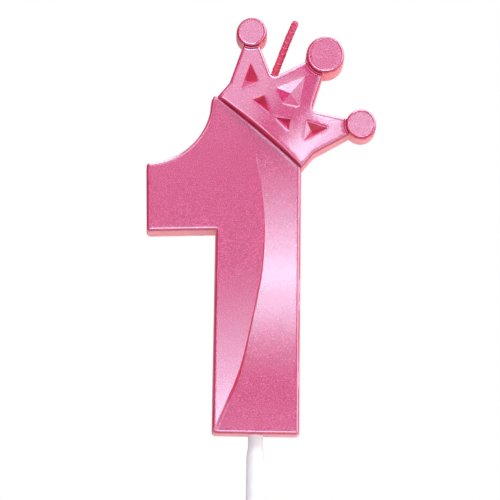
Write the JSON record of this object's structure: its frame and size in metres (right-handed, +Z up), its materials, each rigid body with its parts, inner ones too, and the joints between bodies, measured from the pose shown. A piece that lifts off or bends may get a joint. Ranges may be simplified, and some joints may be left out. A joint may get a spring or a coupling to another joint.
{
  "type": "number birthday candle",
  "caption": "Number birthday candle: a pearl pink wax digit one wearing a tilted crown with round knobs, a braided wick and a white plastic pick for the cake.",
  "frame": {"origin": "where the pick's axis meets the digit's base, at mid thickness", "axes": "+Z up along the pick towards the crown, -Y out of the decorated front, +X to the viewer's right seen from the front"},
  "size_m": [0.048, 0.0098, 0.1264],
  "materials": {
    "pearl_pink_wax": "satin pearl metallic pink coating over cast wax",
    "wick": "braided cotton dipped in crimson wax",
    "white_plastic": "moulded white plastic, satin"
  },
  "bodies": {
    "root": {"number_body": "pearl_pink_wax", "crown": "pearl_pink_wax", "wick": "wick", "pick": "white_plastic"}
  },
  "joints": []
}
